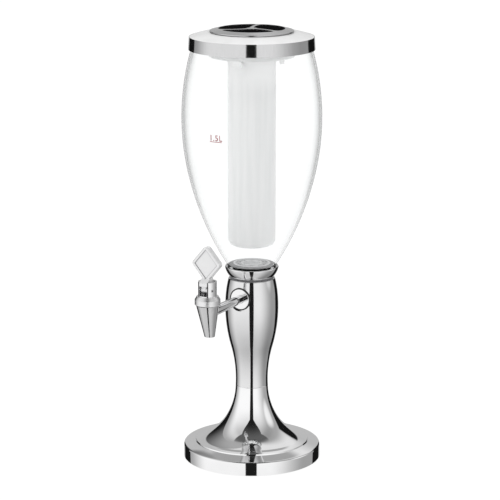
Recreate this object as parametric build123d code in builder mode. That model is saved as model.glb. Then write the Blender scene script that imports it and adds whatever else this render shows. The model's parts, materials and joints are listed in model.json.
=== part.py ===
from build123d import *
import os

# Beer tower. Millimetres, +Z up, the tower's axis is Z and the tap points along -Y.
# The origin is the middle of the face that stands on the table.

# Clearances
static_gap = 0.15  # round parts that sit in each other and don't move
running_gap = 0.05  # lever on its pin
moving_gap = 0.3  # parts that slide or turn past each other
seat_gap = 0.1  # flat faces that come to rest on each other

# Base
base_radius = 78.0
base_height = 85.3  # table to the seam with the stem
base_wall = 2.6
base_edge_height = 15.8  # top of the upright wall
base_edge_round = 2.4
seam_chamfer = 0.4  # at the seam between base and stem
rim_rise = 4.2  # from the wall up to the groove
groove_radius = 65.2
groove_width = 1.0
groove_depth = 0.8
trumpet_step = 1.3  # trumpet's foot above the rim
trumpet_mid_radius = 29.8
trumpet_mid_height = 46.0
trumpet_slant = 0.7  # share of the wall along each axis at that height
waist_radius = 18.5  # at the seam
spigot_length = 12.0
pad_height = 2.4
pad_proud = 0.8  # pad below the base's wall
pad_inset = 1.0
plate_thickness = 2.6
ballast_height = 10.0
ballast_chamfer = 1.0
ballast_gap = 1.0  # to the screw bosses
seat_ring_inset = 7.0  # ring that bears on the ballast, inside the groove
seat_ring_width = 3.0
boss_radius = 3.5
boss_circle = 71.0
boss_skin = 0.4
plate_screw_count = 4
plate_screw_radius = 1.5
plate_screw_head = 2.9
plate_screw_length = 10.0
tie_bolt_radius = 4.0
tie_head_flats = 13.0
tie_head_height = 5.3
tie_pocket_radius = 9.0
tie_nut_height = 6.5
tie_washer_radius = 8.0
tie_washer_thickness = 1.6
tie_end = 3.0  # thread past the nut

# Stem
stem_height = 125.7
stem_wall = 2.5
stem_dip = 0.2  # its narrowest part, just above the seam, is this much inside the waist
stem_flank_radius = 23.8
stem_flank_height = 45.8
stem_shoulder_radius = 29.7
stem_shoulder_height = 106.1
stem_top_radius = 26.4
stem_top_round = 0.8
web_thickness = 4.0

# Sump in the stem's head
sump_wall = 2.2
sump_depth = 37.0
sump_floor = 2.5
sump_flange_height = 2.0
sump_lip = 1.1  # of the stem, round the flange
sump_flat = 19.4  # inner face that the tap's gasket presses on
thread_length = 9.0

# Collar and vessel
collar_height = 14.0
collar_foot_radius = 22.6
collar_swell_radius = 27.5
collar_swell_height = 5.4
collar_rim_radius = 30.4
collar_lip = 2.2
collar_floor_height = 9.5
neck_seal_thickness = 2.0
neck_radius = 20.0
neck_wall = 2.5
neck_engagement = 8.0  # of the neck in the sump
vessel_height = 260.5  # underside of the floor to the rim
vessel_wall = 2.0
vessel_floor = 3.6
vessel_corner = 3.5
vessel_foot_radius = 27.4
vessel_flank_radius = 71.1
vessel_flank_height = 107.5
vessel_rim_radius = 64.1
strainer_height = 2.2
strainer_bevel = 4.2
strainer_base = 1.2
strainer_flare = 0.8  # edge follows the vessel's wall outwards
strainer_ring_radius = 12.0
strainer_ring_width = 2.4
strainer_ring_rise = 0.7
strainer_holes = 12
strainer_hole_radius = 1.3
strainer_hole_circle = 15.4

# Lid
lid_edge_height = 2.4  # dome's edge above the vessel's rim
lid_dome_rise = 5.1
lid_dome_fullness = 0.62  # height of the dome half way in, as a share of its rise
lid_dome_drop = 3.6  # dome's thickness at the well
lid_edge_radius = 69.2
band_height = 14.1
band_thickness = 1.1
band_foot_radius = 70.5
band_top_radius = 69.7
skirt_wall = 1.2
plug_gap = 0.9  # of the plug in the vessel's rim
plug_wall = 3.0
plug_depth = 9.0
lid_seal_height = 4.0
lid_seal_depth = 1.5
well_radius = 47.6
well_wall = 2.2
well_depth = 19.4  # well's underside below the vessel's rim
well_floor = 2.4
mouth_ring_drop = 9.0  # ring inside the tube's mouth
mouth_ring_wall = 1.6
hook_leg = 2.5
hook_toe = 4.0
hook_arc = 20.0
hook_count = 3
hook_angle = 30.0

# Ice tube
tube_radius = 26.75
tube_wall = 2.0
tube_floor_gap = 20.9  # tube's bottom above the strainer
tube_corner = 8.0
tube_flange = 4.25  # past the tube's wall
tube_flange_height = 2.4
tube_tab = 2.5  # past the flange
tube_tab_arc = 16.0
tube_seal_thickness = 1.5
tube_seal_inset = 1.0

# Cap with finger pockets
cap_plug_gap = 1.2
cap_flange_radius = 46.8
cap_flange_height = 0.5
cap_bottom_gap = 1.8
cap_seal_height = 4.0
cap_seal_depth = 1.4
trim_height = 1.0
grip_rise = 2.2  # top of the cap above its outer edge
grip_opening = 37.0
grip_land = 0.8  # flat strip round the openings
grip_depth = 19.0
grip_bar_count = 3
grip_bar_angle = 101.0
grip_bar_root = 5.4
grip_bar_waist = 3.8
grip_bar_tip = 7.0
grip_bar_bow = 4.0
grip_hub_radius = 6.0
grip_corner = 5.0
trim_round = 0.3

# Tap
tap_reach = 100.0
shank_height = 191.4
shank_radius = 4.9
shank_root_radius = 6.0  # at the tap's axis
shank_bore = 3.0
shank_inside = 7.4  # shank's end past the gasket's seat
escutcheon_radius = 11.6
escutcheon_thickness = 1.7
escutcheon_round = 0.6
grommet_width = 1.2
grommet_thickness = 1.4
tap_seat_reach = 26.4  # flat seat in the stem, from the tower's axis
tap_seat_gap = 0.5
gasket_thickness = 1.5
gasket_radius = 8.6
shank_nut_flats = 15.0
shank_nut_height = 5.0
spout_height = 36.6
spout_rise = 3.8  # cone's top above the shank
spout_top_radius = 12.8
spout_tip_radius = 5.8
spout_lean = 4.2
outlet_radius = 4.0
seat_below_top = 13.2  # valve seat below the top of the spout
chamber_radius = 8.0
tap_thread_radius = 11.6
tap_thread_height = 3.7
bonnet_nut_radius = 14.2
bonnet_nut_foot = 13.3
bonnet_nut_swell = 0.9  # height of its widest part
bonnet_nut_side = 5.6  # straight part above that
bonnet_nut_height = 10.3
bonnet_nut_lip = 4.6
bonnet_nut_shoulder = 11.9
bonnet_radius = 10.3
bonnet_bore = 8.2
bonnet_show = 16.4  # above the nut
bonnet_flange_height = 2.2
bonnet_partition = 3.0
bonnet_slot_width = 10.0
bonnet_seal_height = 1.2
spring_chamber = 5.0
pin_radius = 1.25
pivot_offset = 5.2  # pin in front of the tap's axis
pivot_above_partition = 6.3
lever_hub_radius = 2.4
lever_width = 7.0
fork_arm = 2.4
fork_nose = 1.6
fork_reach = 5.7
diamond_width = 36.0
diamond_height = 42.5
diamond_thickness = 8.0
diamond_corner = 4.0
diamond_border = 3.2
diamond_recess = 0.8
diamond_edge = 0.7
diamond_sink = 1.6  # lower point, before rounding, below the bonnet's top
neck_width = 4.4
foot_rise = 7.0  # plate's underside above the pivot
foot_front = 8.5  # top of the upright front above the pivot
foot_low = 4.7  # its lower edge above the pivot
foot_inset = 0.4  # behind the bonnet's front
rod_radius = 1.6
rod_head_radius = 3.2
rod_head_height = 1.6
rod_flange_radius = 6.0
rod_flange_height = 1.5
cup_radius = 6.4
cup_height = 11.3
cup_floor = 3.0
spring_radius = 4.2
spring_wire = 0.8
spring_turns = 4

# Heights that follow from the sizes above
shell_bottom = pad_proud
plate_top = pad_height + plate_thickness
ballast_top = plate_top + ballast_height
rim_top = base_edge_height + rim_rise
trumpet_foot_radius = groove_radius - groove_width
trumpet_foot_height = rim_top + trumpet_step
stem_top = base_height + stem_height
spigot_top = base_height + spigot_length
web_bottom = spigot_top + static_gap
web_top = web_bottom + web_thickness
collar_top = stem_top + collar_height
cup_floor_height = stem_top + collar_floor_height
vessel_base = cup_floor_height + neck_seal_thickness
vessel_rim = vessel_base + vessel_height
inside_floor = vessel_base + vessel_floor
lid_edge = vessel_rim + lid_edge_height
lid_top = lid_edge + lid_dome_rise
lid_under = vessel_rim + seat_gap
band_bottom = lid_edge - band_height
well_bottom = vessel_rim - well_depth
tube_top = well_bottom - tube_seal_thickness - seat_gap
tab_bottom = tube_top - tube_flange_height
hook_bottom = tab_bottom - moving_gap - hook_toe
cap_bottom = well_bottom + well_floor + cap_bottom_gap
cap_seat = lid_top + seat_gap
trim_bottom = cap_seat + cap_flange_height
grip_top = trim_bottom + grip_rise

# Radii that follow
spigot_radius = waist_radius - stem_dip - stem_wall - static_gap
spigot_bore = spigot_radius - base_wall
plate_radius = base_radius - base_wall - static_gap
ballast_radius = boss_circle - boss_radius - ballast_gap
sump_radius = stem_top_radius - stem_wall - static_gap
sump_bore = sump_radius - sump_wall
sump_flange_radius = stem_top_radius - sump_lip - static_gap
thread_bore = neck_radius + static_gap
collar_hole = neck_radius + 2 * static_gap
collar_bore = collar_rim_radius - collar_lip
strainer_radius = vessel_foot_radius - vessel_wall - 2 * static_gap
plug_radius = vessel_rim_radius - vessel_wall - plug_gap
lid_seal_radius = plug_radius + plug_gap - moving_gap
well_bore = well_radius - well_wall
cap_plug_radius = well_bore - cap_plug_gap
cap_seal_radius = well_bore - moving_gap
tube_flange_radius = tube_radius + tube_flange
tube_tab_radius = tube_flange_radius + tube_tab
tube_bore = tube_radius - tube_wall
mouth_ring_radius = tube_bore - moving_gap
grommet_radius = escutcheon_radius + grommet_width
tap_seat_radius = grommet_radius + tap_seat_gap

# Places on the tap that follow
spout_top = shank_height + shank_root_radius + static_gap + spout_rise
spout_bottom = spout_top - spout_height
seat_height = spout_top - seat_below_top
bonnet_flange_bottom = spout_top + tap_thread_height
nut_bottom = spout_top + 2 * static_gap
nut_top = nut_bottom + bonnet_nut_height
bonnet_top = nut_top + bonnet_show
partition_bottom = bonnet_flange_bottom + spring_chamber
partition_top = partition_bottom + bonnet_partition
pivot_y = -tap_reach - pivot_offset
pivot_z = partition_top + pivot_above_partition
fork_y = pivot_y + fork_reach
head_bottom = pivot_z + fork_nose + moving_gap
cup_bottom = seat_height + seat_gap
rod_flange_bottom = cup_bottom + cup_height
rod_flange_top = rod_flange_bottom + rod_flange_height
plate_back = -tap_reach + diamond_thickness / 2
plate_front = -tap_reach - diamond_thickness / 2
diamond_middle = bonnet_top + diamond_height / 2 - diamond_sink
escutcheon_front = tap_seat_reach + escutcheon_thickness
gasket_face = sump_flat - gasket_thickness
shank_end = gasket_face - shank_inside

tap_axis = Axis((0, -tap_reach, 0), (0, 0, 1))
shank_axis = Axis((0, 0, shank_height), (0, 1, 0))
tap_side = Plane.XZ.offset(tap_reach)  # upright, through the tap's axis

trumpet_outline = [
    (waist_radius, base_height),
    (trumpet_mid_radius, trumpet_mid_height),
    (trumpet_foot_radius, trumpet_foot_height),
]
trumpet_start = (0.016, -1)
stem_outline = [
    (waist_radius, base_height),
    (stem_flank_radius, base_height + stem_flank_height),
    (stem_shoulder_radius, base_height + stem_shoulder_height),
    (stem_top_radius, stem_top),
]
stem_start = (-0.048, 1)
vessel_outline = [
    (vessel_foot_radius, vessel_base + vessel_corner),
    (vessel_flank_radius, vessel_base + vessel_flank_height),
    (vessel_rim_radius, vessel_rim),
]
vessel_start = (0.553, 0.87)


def inset_by(outline, amount):
    return [(radius - amount, height) for radius, height in outline]


def arc_chain(points, tangent):
    for start, end in zip(points, points[1:]):
        arc = TangentArc(start, end, tangent=tangent)
        tangent = arc % 1


def rim_height(radius):
    return base_edge_height + rim_rise * (base_radius - radius) / (base_radius - groove_radius)


def stem_solid(inset):
    outline = inset_by(stem_outline, inset)
    with BuildPart() as solid:
        with BuildSketch(Plane.XZ):
            with BuildLine():
                arc_chain(outline, stem_start)
                Polyline(outline[-1], (0, stem_top), (0, base_height), outline[0])
            make_face()
        revolve(axis=Axis.Z)
    return solid.part


def finger_openings():
    with BuildSketch() as bar:
        with BuildLine():
            ThreePointArc(
                (0, -grip_bar_root / 2),
                (grip_opening / 2, grip_bar_bow - grip_bar_waist / 2),
                (cap_plug_radius, -grip_bar_tip / 2),
            )
            Line((cap_plug_radius, -grip_bar_tip / 2), (cap_plug_radius, grip_bar_tip / 2))
            ThreePointArc(
                (cap_plug_radius, grip_bar_tip / 2),
                (grip_opening / 2, grip_bar_bow + grip_bar_waist / 2),
                (0, grip_bar_root / 2),
            )
            Line((0, grip_bar_root / 2), (0, -grip_bar_root / 2))
        make_face()
    with BuildSketch() as openings:
        Circle(grip_opening)
        with PolarLocations(0, grip_bar_count, start_angle=grip_bar_angle):
            add(bar.sketch, mode=Mode.SUBTRACT)
        Circle(grip_hub_radius, mode=Mode.SUBTRACT)
        fillet(openings.vertices(), grip_corner)
    return openings.sketch


def crown_line(lift):
    Polyline(
        (cap_flange_radius, trim_bottom + lift),
        (grip_opening + grip_land, grip_top + lift),
        (0, grip_top + lift),
    )


def diamond_shape():
    with BuildSketch() as shape:
        Polygon(
            (0, -diamond_height / 2),
            (diamond_width / 2, 0),
            (0, diamond_height / 2),
            (-diamond_width / 2, 0),
        )
    return shape.sketch


# Base shell: wall, sloping rim, groove and trumpet, with the spigot that the stem fits over
with BuildPart() as base_shell:
    with BuildSketch(Plane.XZ) as base_profile:
        slant_inset = trumpet_slant * base_wall
        inner_foot = (trumpet_foot_radius - base_wall, trumpet_foot_height - base_wall)
        inner_mid = (trumpet_mid_radius - slant_inset, trumpet_mid_height - slant_inset)
        with BuildLine():
            arc_chain(trumpet_outline, trumpet_start)
            Polyline(
                (waist_radius, base_height),
                (spigot_radius, base_height),
                (spigot_radius, spigot_top),
                (spigot_bore, spigot_top),
                (spigot_bore, base_height),
            )
            arc_chain([(spigot_bore, base_height), inner_mid, inner_foot], trumpet_start)
            Polyline(
                inner_foot,
                (groove_radius, rim_top - base_wall),
                (base_radius - base_wall, base_edge_height - base_wall),
                (base_radius - base_wall, shell_bottom),
                (base_radius, shell_bottom),
                (base_radius, base_edge_height),
                (groove_radius, rim_top),
                (groove_radius - groove_width / 2, rim_top - groove_depth),
                (trumpet_foot_radius, trumpet_foot_height),
            )
        make_face()
        outer_edge = base_profile.vertices().sort_by_distance((base_radius, 0, base_edge_height))[0]
        fillet(outer_edge, base_edge_round)
    revolve(axis=Axis.Z)
    seam_edge = base_shell.edges().sort_by_distance((waist_radius, 0, base_height))[0]
    chamfer(seam_edge, seam_chamfer)
    with BuildSketch(Plane.XY.offset(ballast_top)):
        Circle(trumpet_foot_radius - seat_ring_inset + seat_ring_width)
        Circle(trumpet_foot_radius - seat_ring_inset, mode=Mode.SUBTRACT)
    extrude(amount=trumpet_foot_height - ballast_top)
    with BuildSketch(Plane.XY.offset(plate_top)):
        with PolarLocations(boss_circle, plate_screw_count):
            Circle(boss_radius)
    extrude(amount=rim_height(boss_circle + boss_radius) - boss_skin - plate_top)
    with BuildSketch(Plane.XY.offset(plate_top)):
        with PolarLocations(boss_circle, plate_screw_count):
            Circle(plate_screw_radius)
    extrude(amount=plate_screw_length - plate_thickness + static_gap, mode=Mode.SUBTRACT)

with BuildPart() as foot_pad:
    with BuildSketch():
        Circle(plate_radius - pad_inset)
    extrude(amount=pad_height)

with BuildPart() as base_plate:
    with BuildSketch(Plane.XY.offset(pad_height)):
        Circle(plate_radius)
    extrude(amount=plate_thickness)
    with Locations(Plane((0, 0, pad_height), z_dir=(0, 0, -1))):
        with PolarLocations(boss_circle, plate_screw_count):
            CounterSinkHole(plate_screw_radius + static_gap, plate_screw_head + static_gap)

with BuildPart() as base_plate_screws:
    for screw in PolarLocations(boss_circle, plate_screw_count):
        middle = screw.position.X
        shaft = middle + plate_screw_radius - running_gap
        with BuildSketch(Plane.XZ.offset(-screw.position.Y)):
            with BuildLine():
                Polyline(
                    (middle, pad_height),
                    (middle + plate_screw_head, pad_height),
                    (shaft, pad_height + plate_screw_head - plate_screw_radius),
                    (shaft, pad_height + plate_screw_length),
                    (middle, pad_height + plate_screw_length),
                    close=True,
                )
            make_face()
        revolve(axis=Axis(screw.position, (0, 0, 1)))

# Ballast disc, with the pocket that the tie bolt's head sits in
with BuildPart() as ballast_weight:
    with BuildSketch(Plane.XY.offset(plate_top)):
        Circle(ballast_radius)
    extrude(amount=ballast_height)
    chamfer(ballast_weight.edges(), ballast_chamfer)
    with Locations(Plane((0, 0, plate_top), z_dir=(0, 0, -1))):
        CounterBoreHole(tie_bolt_radius + static_gap, tie_pocket_radius, tie_head_height)

with BuildPart() as tie_bolt:
    with BuildSketch(Plane.XY.offset(plate_top + seat_gap)):
        RegularPolygon(tie_head_flats / 2, 6, major_radius=False)
    extrude(amount=tie_head_height - seat_gap)
    with BuildSketch(Plane.XY.offset(plate_top + tie_head_height)):
        Circle(tie_bolt_radius)
    extrude(amount=web_top + tie_washer_thickness + tie_nut_height + tie_end - plate_top - tie_head_height)

with BuildPart() as tie_washer:
    with BuildSketch(Plane.XY.offset(web_top)):
        Circle(tie_washer_radius)
        Circle(tie_bolt_radius + static_gap, mode=Mode.SUBTRACT)
    extrude(amount=tie_washer_thickness)

with BuildPart() as tie_nut:
    with BuildSketch(Plane.XY.offset(web_top + tie_washer_thickness)):
        RegularPolygon(tie_head_flats / 2, 6, major_radius=False)
        Circle(tie_bolt_radius + running_gap, mode=Mode.SUBTRACT)
    extrude(amount=tie_nut_height)

# Stem, with the web that the tie bolt pulls on, the sump's seat, and a pad with the tap's flat seat
with BuildPart() as tap_pad:
    with BuildSketch(Plane.XZ):
        with Locations((0, shank_height)):
            Circle(tap_seat_radius + stem_wall)
    extrude(amount=2 * sump_radius)
    add(stem_solid(stem_wall / 2), mode=Mode.INTERSECT)
    with BuildSketch():
        Circle(sump_radius + running_gap)
    extrude(amount=stem_top, mode=Mode.SUBTRACT)

with BuildPart() as stem_shell:
    add(stem_solid(0))
    seam_edge = stem_shell.edges().sort_by_distance((waist_radius, 0, base_height))[0]
    chamfer(seam_edge, seam_chamfer)
    top_edge = stem_shell.edges().sort_by_distance((stem_top_radius, 0, stem_top))[0]
    fillet(top_edge, stem_top_round)
    add(stem_solid(stem_wall), mode=Mode.SUBTRACT)
    add(tap_pad.part)
    with BuildSketch(Plane.XY.offset(web_bottom)):
        Circle(waist_radius - stem_wall / 2)
        Circle(tie_bolt_radius + static_gap, mode=Mode.SUBTRACT)
    extrude(amount=web_thickness)
    with BuildSketch(Plane.XY.offset(stem_top - sump_flange_height)):
        Circle(stem_top_radius - sump_lip)
    extrude(amount=sump_flange_height, mode=Mode.SUBTRACT)
    with BuildSketch(Plane.XZ.offset(tap_seat_reach)):
        with Locations((0, shank_height)):
            Circle(tap_seat_radius)
    extrude(amount=2 * sump_radius, mode=Mode.SUBTRACT)
    with BuildSketch(Plane.XZ):
        with Locations((0, shank_height)):
            Circle(shank_radius + static_gap)
    extrude(amount=2 * sump_radius, mode=Mode.SUBTRACT)

with BuildPart() as sump_cup:
    with BuildSketch(Plane.XY.offset(stem_top - sump_depth)):
        Circle(sump_radius)
    extrude(amount=sump_depth)
    with BuildSketch(Plane.XY.offset(stem_top - sump_flange_height)):
        Circle(sump_flange_radius)
    extrude(amount=sump_flange_height)
    with BuildSketch(Plane.XY.offset(stem_top - sump_depth + sump_floor)):
        Circle(sump_bore)
        with Locations((0, -sump_flat - sump_radius / 2)):
            Rectangle(2 * sump_radius, sump_radius, mode=Mode.SUBTRACT)
    extrude(amount=sump_depth - sump_floor - thread_length, mode=Mode.SUBTRACT)
    with BuildSketch(Plane.XY.offset(stem_top - thread_length)):
        Circle(thread_bore)
    extrude(amount=thread_length, mode=Mode.SUBTRACT)
    with BuildSketch(Plane.XZ):
        with Locations((0, shank_height)):
            Circle(shank_radius + static_gap)
    extrude(amount=2 * sump_radius, mode=Mode.SUBTRACT)

# Collar: bowl that the vessel's foot stands in
with BuildPart() as collar:
    with BuildSketch(Plane.XZ):
        with BuildLine():
            ThreePointArc(
                (collar_foot_radius, stem_top),
                (collar_swell_radius, stem_top + collar_swell_height),
                (collar_rim_radius, collar_top - collar_lip / 2),
            )
            ThreePointArc(
                (collar_rim_radius, collar_top - collar_lip / 2),
                (collar_rim_radius - collar_lip / 2, collar_top),
                (collar_bore, collar_top - collar_lip / 2),
            )
            Polyline(
                (collar_bore, collar_top - collar_lip / 2),
                (collar_bore, cup_floor_height + vessel_corner - collar_lip),
                (collar_bore - vessel_corner + collar_lip, cup_floor_height),
                (collar_hole, cup_floor_height),
                (collar_hole, stem_top),
                (collar_foot_radius, stem_top),
            )
        make_face()
    revolve(axis=Axis.Z)

with BuildPart() as neck_seal:
    with BuildSketch(Plane.XY.offset(cup_floor_height)):
        Circle(vessel_foot_radius - vessel_corner - static_gap)
        Circle(collar_hole, mode=Mode.SUBTRACT)
    extrude(amount=neck_seal_thickness)

# Vessel: goblet with a neck that screws into the sump
with BuildPart() as vessel:
    inner_outline = inset_by(vessel_outline, vessel_wall)
    inner_outline[0] = (inner_outline[0][0], inside_floor)
    neck_bottom = stem_top - neck_engagement
    corner_middle = vessel_corner * (1 - 0.5 ** 0.5)
    with BuildSketch(Plane.XZ):
        with BuildLine():
            arc_chain(vessel_outline, vessel_start)
            Line(vessel_outline[-1], inner_outline[-1])
            arc_chain(inner_outline, vessel_start)
            Polyline(
                inner_outline[0],
                (neck_radius - neck_wall, inside_floor),
                (neck_radius - neck_wall, neck_bottom),
                (neck_radius, neck_bottom),
                (neck_radius, vessel_base),
                (vessel_foot_radius - vessel_corner, vessel_base),
            )
            ThreePointArc(
                (vessel_foot_radius - vessel_corner, vessel_base),
                (vessel_foot_radius - corner_middle, vessel_base + corner_middle),
                vessel_outline[0],
            )
        make_face()
    revolve(axis=Axis.Z)

# Strainer over the neck's mouth, with a bevelled edge and raised rings
with BuildPart() as strainer_disc:
    plateau = strainer_radius - strainer_bevel
    ring_inner = strainer_ring_radius - strainer_ring_width
    top = inside_floor + strainer_height
    with BuildSketch(Plane.XZ):
        with BuildLine():
            Polyline(
                (0, inside_floor),
                (strainer_radius, inside_floor),
                (strainer_radius + strainer_flare, inside_floor + strainer_base),
                (plateau, top),
                (plateau - strainer_ring_width, top),
                (plateau - strainer_ring_width, top - strainer_ring_rise),
                (strainer_ring_radius, top - strainer_ring_rise),
                (strainer_ring_radius, top),
                (ring_inner, top),
                (ring_inner, top - strainer_ring_rise),
                (0, top - strainer_ring_rise),
                close=True,
            )
        make_face()
    revolve(axis=Axis.Z)
    with BuildSketch(Plane.XY.offset(inside_floor)):
        with PolarLocations(strainer_hole_circle, strainer_holes):
            Circle(strainer_hole_radius)
    extrude(amount=strainer_height, mode=Mode.SUBTRACT)

# Lid: dome, skirt behind the band, plug with a seal groove, and a well with a ring and hooks for the ice tube
with BuildPart() as lid_shell:
    skirt_foot = band_foot_radius - band_thickness - running_gap
    skirt_top = band_top_radius - band_thickness - running_gap
    skirt_bottom = band_bottom + seat_gap
    groove_top = lid_under - (plug_depth - lid_seal_height) / 2
    groove_bottom = groove_top - lid_seal_height
    plug_foot = lid_under - plug_depth
    dome_middle = ((lid_edge_radius + well_radius) / 2, lid_edge + lid_dome_fullness * lid_dome_rise)
    with BuildSketch(Plane.XZ):
        with BuildLine():
            ThreePointArc((well_bore, lid_top), dome_middle, (lid_edge_radius, lid_edge))
            Polyline(
                (lid_edge_radius, lid_edge),
                (skirt_top, lid_edge),
                (skirt_foot, skirt_bottom),
                (skirt_foot - skirt_wall, skirt_bottom),
                (skirt_foot - skirt_wall, lid_under),
                (plug_radius, lid_under),
                (plug_radius, groove_top),
                (plug_radius - lid_seal_depth, groove_top),
                (plug_radius - lid_seal_depth, groove_bottom),
                (plug_radius, groove_bottom),
                (plug_radius, plug_foot),
                (plug_radius - plug_wall, plug_foot),
                (plug_radius - plug_wall, lid_under),
                (well_radius, lid_top - lid_dome_drop),
                (well_radius, well_bottom),
                (mouth_ring_radius, well_bottom),
                (mouth_ring_radius, well_bottom - mouth_ring_drop),
                (mouth_ring_radius - mouth_ring_wall, well_bottom - mouth_ring_drop),
                (mouth_ring_radius - mouth_ring_wall, well_bottom + well_floor),
                (well_bore, well_bottom + well_floor),
                (well_bore, lid_top),
            )
        make_face()
    revolve(axis=Axis.Z)
    hook_inner = tube_tab_radius + moving_gap
    for step in range(hook_count):
        turn = hook_angle - hook_arc / 2 + step * 360 / hook_count
        with BuildSketch(Plane.XZ.rotated((0, 0, turn))):
            with BuildLine():
                Polyline(
                    (hook_inner, well_bottom),
                    (hook_inner, tab_bottom - moving_gap),
                    (tube_flange_radius + moving_gap, tab_bottom - moving_gap),
                    (tube_flange_radius + moving_gap, hook_bottom),
                    (hook_inner + hook_leg, hook_bottom),
                    (hook_inner + hook_leg, well_bottom),
                    close=True,
                )
            make_face()
        revolve(axis=Axis.Z, revolution_arc=hook_arc)

with BuildPart() as lid_band:
    with BuildSketch(Plane.XZ):
        with BuildLine():
            Polyline(
                (band_foot_radius, band_bottom),
                (band_top_radius, lid_edge),
                (band_top_radius - band_thickness, lid_edge),
                (band_foot_radius - band_thickness, band_bottom),
                close=True,
            )
        make_face()
    revolve(axis=Axis.Z)

with BuildPart() as lid_seal:
    with BuildSketch(Plane.XY.offset(groove_bottom + seat_gap)):
        Circle(lid_seal_radius)
        Circle(plug_radius - lid_seal_depth + static_gap, mode=Mode.SUBTRACT)
    extrude(amount=lid_seal_height - 2 * seat_gap)

# Ice tube: closed below, with a flange and tabs that turn in over the lid's hooks
with BuildPart() as ice_tube:
    tube_bottom = inside_floor + strainer_height + tube_floor_gap
    inner_corner = tube_corner - tube_wall
    with BuildSketch(Plane.XZ) as tube_profile:
        with BuildLine():
            Polyline(
                (0, tube_bottom),
                (tube_radius, tube_bottom),
                (tube_radius, tab_bottom),
                (tube_flange_radius, tab_bottom),
                (tube_flange_radius, tube_top),
                (tube_bore, tube_top),
                (tube_bore, tube_bottom + tube_wall),
                (0, tube_bottom + tube_wall),
                close=True,
            )
        make_face()
        corners = tube_profile.vertices()
        fillet(corners.sort_by_distance((tube_radius, 0, tube_bottom))[0], tube_corner)
        corners = tube_profile.vertices()
        fillet(corners.sort_by_distance((tube_bore, 0, tube_bottom + tube_wall))[0], inner_corner)
    revolve(axis=Axis.Z)
    for step in range(hook_count):
        turn = hook_angle - tube_tab_arc / 2 + step * 360 / hook_count
        with BuildSketch(Plane.XZ.rotated((0, 0, turn))):
            with BuildLine():
                Polyline(
                    (tube_radius, tab_bottom),
                    (tube_tab_radius, tab_bottom),
                    (tube_tab_radius, tube_top),
                    (tube_radius, tube_top),
                    close=True,
                )
            make_face()
        revolve(axis=Axis.Z, revolution_arc=tube_tab_arc)

with BuildPart() as tube_seal:
    with BuildSketch(Plane.XY.offset(well_bottom - tube_seal_thickness)):
        Circle(tube_flange_radius - tube_seal_inset)
        Circle(tube_bore, mode=Mode.SUBTRACT)
    extrude(amount=tube_seal_thickness)

# Cap: plug with a seal groove, a raised top with three finger pockets, and the silver trim on it
with BuildPart() as grip_cap:
    seal_bottom = cap_bottom + cap_seal_height
    groove_floor = cap_plug_radius - cap_seal_depth
    with BuildSketch(Plane.XZ):
        with BuildLine():
            Polyline(
                (0, cap_bottom),
                (cap_plug_radius, cap_bottom),
                (cap_plug_radius, seal_bottom),
                (groove_floor, seal_bottom),
                (groove_floor, seal_bottom + cap_seal_height),
                (cap_plug_radius, seal_bottom + cap_seal_height),
                (cap_plug_radius, cap_seat),
                (cap_flange_radius, cap_seat),
                (cap_flange_radius, trim_bottom),
            )
            crown_line(0)
            Line((0, grip_top), (0, cap_bottom))
        make_face()
    revolve(axis=Axis.Z)
    with BuildSketch(Plane.XY.offset(grip_top - grip_depth)):
        add(finger_openings())
    extrude(amount=2 * grip_depth, mode=Mode.SUBTRACT)

with BuildPart() as grip_trim:
    with BuildSketch(Plane.XZ):
        with BuildLine():
            crown_line(0)
            crown_line(trim_height)
            Line((0, grip_top), (0, grip_top + trim_height))
            Line((cap_flange_radius, trim_bottom), (cap_flange_radius, trim_bottom + trim_height))
        make_face()
    revolve(axis=Axis.Z)
    rim_edge = grip_trim.edges().sort_by_distance((cap_flange_radius, 0, trim_bottom + trim_height))[0]
    fillet(rim_edge, trim_round)
    with BuildSketch(Plane.XY.offset(grip_top - grip_depth)):
        add(finger_openings())
    extrude(amount=2 * grip_depth, mode=Mode.SUBTRACT)

with BuildPart() as cap_seal:
    with BuildSketch(Plane.XY.offset(seal_bottom + moving_gap)):
        Circle(cap_seal_radius)
        Circle(groove_floor + moving_gap, mode=Mode.SUBTRACT)
    extrude(amount=cap_seal_height - 2 * moving_gap)

# Tap body: leaning spout, thread for the nut and hollow shank
with BuildPart() as tap_body:
    with BuildSketch(Plane((0, -tap_reach, spout_top))):
        Circle(spout_top_radius)
    with BuildSketch(Plane((0, -tap_reach + spout_lean, spout_bottom))):
        Circle(spout_tip_radius)
    loft()
    with BuildSketch(Plane((0, -tap_reach, spout_top))):
        Circle(tap_thread_radius)
    extrude(amount=tap_thread_height)
    with BuildSketch(Plane.XY.offset(shank_height)):
        with BuildLine():
            Polyline(
                (0, -shank_end),
                (shank_radius, -shank_end),
                (shank_radius, -escutcheon_front),
                (shank_root_radius, -tap_reach),
                (0, -tap_reach),
                close=True,
            )
        make_face()
    revolve(axis=shank_axis)
    with BuildSketch(Plane((0, -tap_reach, seat_height))):
        Circle(chamber_radius)
    extrude(amount=seat_below_top + tap_thread_height, mode=Mode.SUBTRACT)
    with BuildSketch(Plane((0, -tap_reach, seat_height))):
        Circle(outlet_radius)
    with BuildSketch(Plane((0, -tap_reach + spout_lean, spout_bottom))):
        Circle(outlet_radius)
    loft(mode=Mode.SUBTRACT)
    with BuildSketch(Plane.XZ.offset(shank_end)):
        with Locations((0, shank_height)):
            Circle(shank_bore)
    extrude(amount=tap_reach - shank_end, mode=Mode.SUBTRACT)

# Flat trim disc in the stem's seat
with BuildPart() as tap_escutcheon:
    with BuildSketch(Plane.XZ.offset(tap_seat_reach)):
        with Locations((0, shank_height)):
            Circle(escutcheon_radius)
            Circle(shank_radius + static_gap, mode=Mode.SUBTRACT)
    extrude(amount=escutcheon_thickness)
    front_face = tap_escutcheon.faces().sort_by(Axis.Y)[0]
    fillet(front_face.outer_wire().edges(), escutcheon_round)

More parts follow.
